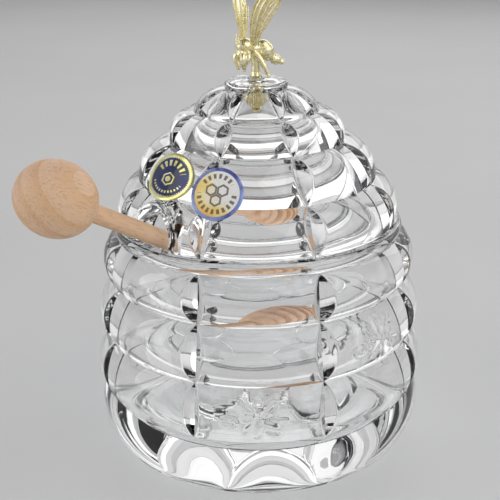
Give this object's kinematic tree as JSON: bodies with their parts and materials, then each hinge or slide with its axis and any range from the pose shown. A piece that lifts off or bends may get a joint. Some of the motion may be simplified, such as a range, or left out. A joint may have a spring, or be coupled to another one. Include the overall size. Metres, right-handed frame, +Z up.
{
  "type": "honey jar",
  "caption": "Cut crystal honey jar in the shape of a straw beehive, with a loose domed lid, a gilt bee knob and a wooden dipper that leans out through a notch in the lid.",
  "frame": {"origin": "centre of the foot, on the surface that the jar stands on", "axes": "+Z up along the axis of the jar, -Y the front panel, the dipper leans out between -X and -Y"},
  "size_m": [0.146, 0.1475, 0.1833],
  "materials": {
    "crystal": "clear polished lead crystal",
    "clear_cushion": "clear soft plastic",
    "gilt": "polished pale gilt casting",
    "beech": "sanded bare beech",
    "blue_foil": "embossed blue foil with a gold edge",
    "white_foil": "pearly foil with a blue edge"
  },
  "bodies": {
    "jar": {"pot": "crystal"},
    "lid": {"lid": "crystal", "bee": "gilt", "left_wings": "gilt", "right_wings": "gilt", "knob_stud": "gilt", "cushion_washer": "clear_cushion", "lower_washer": "gilt", "fluted_nut": "gilt", "blue_seal": "blue_foil", "white_seal": "white_foil"},
    "dipper": {"dipper_ball": "beech", "dipper_shaft": "beech", "dipper_head": "beech"}
  },
  "joints": [
    {"name": "lid_lift", "type": "slide", "parent": "jar", "child": "lid", "axis": [0, 0, 1], "range_m": [0, 0.15]},
    {"name": "dipper_draw", "type": "slide", "parent": "jar", "child": "dipper", "axis": [-0.6111, -0.6111, 0.503], "range_m": [0, 0.046]}
  ]
}
